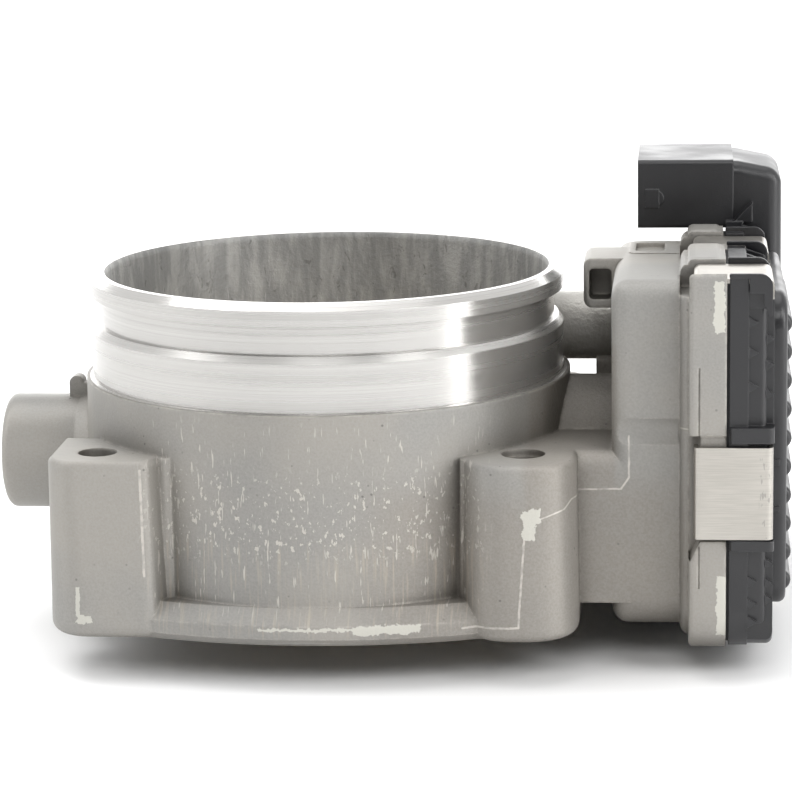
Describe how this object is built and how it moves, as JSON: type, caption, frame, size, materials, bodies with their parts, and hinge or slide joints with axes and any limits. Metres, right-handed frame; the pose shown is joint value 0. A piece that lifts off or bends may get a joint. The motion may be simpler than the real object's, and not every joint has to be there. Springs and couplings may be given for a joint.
{
  "type": "electronic throttle body",
  "caption": "Motor-driven butterfly throttle body: cast aluminium housing with turned hose neck, bolt-on flange, clipped gear cover and side plug socket.",
  "frame": {"origin": "centre of the bore on the flange mounting face", "axes": "+Z along the bore towards the hose neck, +X along the throttle shaft towards the gear cover, +Y towards the motor"},
  "size_m": [0.1479, 0.1294, 0.0851],
  "materials": {
    "cast_aluminium": "as cast satin grey, turned bright on the hose neck",
    "black_plastic": "moulded, satin",
    "clip_steel": "rolled spring steel",
    "polished_steel": "ground",
    "spring_steel": "oiled wire",
    "zinc_steel": "zinc plated",
    "plate_brass": "rolled and edge turned",
    "contact_brass": "tinned",
    "bronze": "sintered",
    "copper_wire": "enamelled",
    "seal_rubber": "matte",
    "gear_nylon": "moulded",
    "brown_plastic": "moulded",
    "ferrite": "sintered",
    "carbon": "pressed",
    "lamination": "stacked sheets",
    "circuit_board": "lacquered"
  },
  "bodies": {
    "root": {"throttle_housing": "cast_aluminium", "gear_cover": "black_plastic", "cover_gasket": "seal_rubber", "cover_clips": "clip_steel", "connector_pins": "contact_brass", "sensor_board": "circuit_board", "needle_bearing_cup": "polished_steel", "needle_rollers": "polished_steel", "shaft_seals": "seal_rubber", "bearing_outer_race": "polished_steel", "bearing_balls": "polished_steel", "shaft_end_plug": "zinc_steel", "spring_bush": "brown_plastic", "return_spring": "spring_steel", "stop_screw": "zinc_steel", "intermediate_axle": "polished_steel", "motor_can": "zinc_steel", "motor_mount_plate": "zinc_steel", "motor_screws": "zinc_steel", "motor_magnets": "ferrite", "motor_bushes": "bronze", "brush_holder": "brown_plastic", "motor_brushes": "carbon", "motor_terminals": "contact_brass", "motor_wave_spring": "spring_steel"},
    "throttle": {"throttle_shaft": "polished_steel", "throttle_plate": "plate_brass", "plate_screws": "zinc_steel", "throttle_gear": "gear_nylon", "sensor_magnet_holder": "black_plastic", "sensor_magnets": "ferrite", "bearing_inner_race": "polished_steel"},
    "intermediate": {"intermediate_gear": "gear_nylon"},
    "motor_rotor": {"motor_shaft": "polished_steel", "motor_armature": "lamination", "motor_windings": "copper_wire", "motor_commutator": "copper_wire", "motor_pinion": "bronze"}
  },
  "joints": [
    {"name": "throttle_turn", "type": "hinge", "parent": "root", "child": "throttle", "pos_m": [0, 0, 0.0248], "axis": [1, 0, 0], "range_deg": [-7, 77], "stiffness_Nm_per_rad": 0.05, "deforming": ["return_spring"]},
    {"name": "intermediate_turn", "type": "hinge", "parent": "root", "child": "intermediate", "pos_m": [0.072, 0.03106, 0.02052], "axis": [1, 0, 0], "range_deg": [-289, 27]},
    {"name": "motor_turn", "type": "hinge", "parent": "root", "child": "motor_rotor", "pos_m": [0.072, 0.058, 0.0129], "axis": [1, 0, 0], "range_deg": [-127, 1396]}
  ],
  "couplings": [
    {"joint": "intermediate_turn", "follows": "throttle_turn", "ratio": -3.75},
    {"joint": "motor_turn", "follows": "throttle_turn", "ratio": 18.125}
  ]
}
